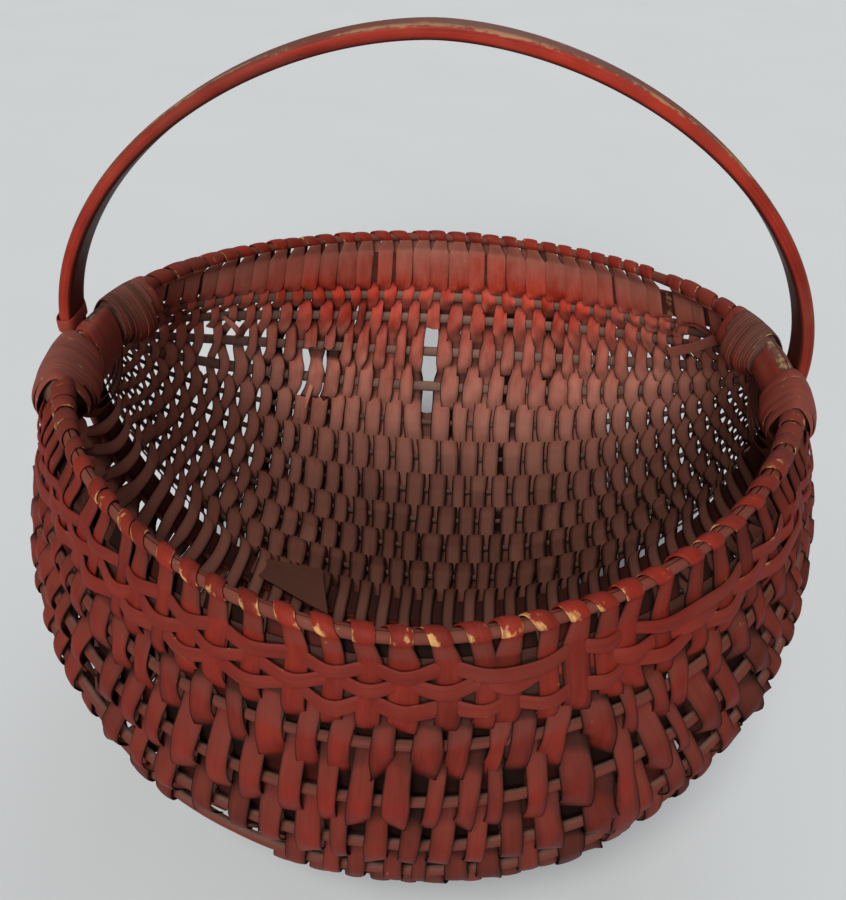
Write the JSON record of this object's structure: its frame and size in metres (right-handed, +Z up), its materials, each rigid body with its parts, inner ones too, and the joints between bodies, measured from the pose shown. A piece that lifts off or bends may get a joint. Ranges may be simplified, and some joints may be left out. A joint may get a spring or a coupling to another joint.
{
  "type": "buttocks basket",
  "caption": "Split-oak buttocks basket painted red: double-lobed body woven over fanned ribs, oval rim, lashed ears and a fixed hoop handle.",
  "frame": {"origin": "on the ground, midway between the seats of both lobes, below the middle of the handle", "axes": "+X from the left ear to the right ear, -Y towards the front lobe, +Z up"},
  "size_m": [0.4004, 0.4317, 0.3808],
  "materials": {
    "rim_wood": "red paint over split oak, worn",
    "handle_wood": "red paint over split oak, worn to grey-brown on top",
    "band_wood": "dark red paint over split oak",
    "rib_wood": "bare oak, grey-brown with age",
    "splint_wood": "red paint over split oak, worn",
    "lath_wood": "dark red paint over split oak",
    "lashing_splint": "worn red paint over split oak",
    "lacing_splint": "worn red paint over split oak"
  },
  "bodies": {
    "root": {"rim_hoop": "rim_wood", "handle_hoop": "handle_wood", "wide_band_front": "band_wood", "wide_band_back": "band_wood", "rib_front_01": "rib_wood", "rib_front_02": "rib_wood", "rib_front_03": "rib_wood", "rib_front_04": "rib_wood", "rib_front_05": "rib_wood", "rib_front_06": "rib_wood", "rib_front_07": "rib_wood", "rib_front_08": "rib_wood", "rib_front_09": "rib_wood", "rib_front_10": "rib_wood", "rib_back_01": "rib_wood", "rib_back_02": "rib_wood", "rib_back_03": "rib_wood", "rib_back_04": "rib_wood", "rib_back_05": "rib_wood", "rib_back_06": "rib_wood", "rib_back_07": "rib_wood", "rib_back_08": "rib_wood", "rib_back_09": "rib_wood", "rib_back_10": "rib_wood", "weaver_splint_01": "splint_wood", "weaver_splint_02": "splint_wood", "weaver_splint_03": "splint_wood", "weaver_splint_04": "splint_wood", "weaver_splint_05": "splint_wood", "weaver_splint_06": "splint_wood", "weaver_splint_07": "splint_wood", "weaver_splint_08": "splint_wood", "weaver_splint_09": "splint_wood", "weaver_splint_10": "splint_wood", "weaver_splint_11": "splint_wood", "thin_splint_front_1": "lath_wood", "thin_splint_front_2": "lath_wood", "thin_splint_front_3": "lath_wood", "thin_splint_back_1": "lath_wood", "thin_splint_back_2": "lath_wood", "thin_splint_back_3": "lath_wood", "ear_lashing_left_front": "lashing_splint", "ear_lashing_left_back": "lashing_splint", "ear_lashing_right_front": "lashing_splint", "ear_lashing_right_back": "lashing_splint", "ear_lacing_left": "lacing_splint", "ear_lacing_right": "lacing_splint"}
  },
  "joints": []
}
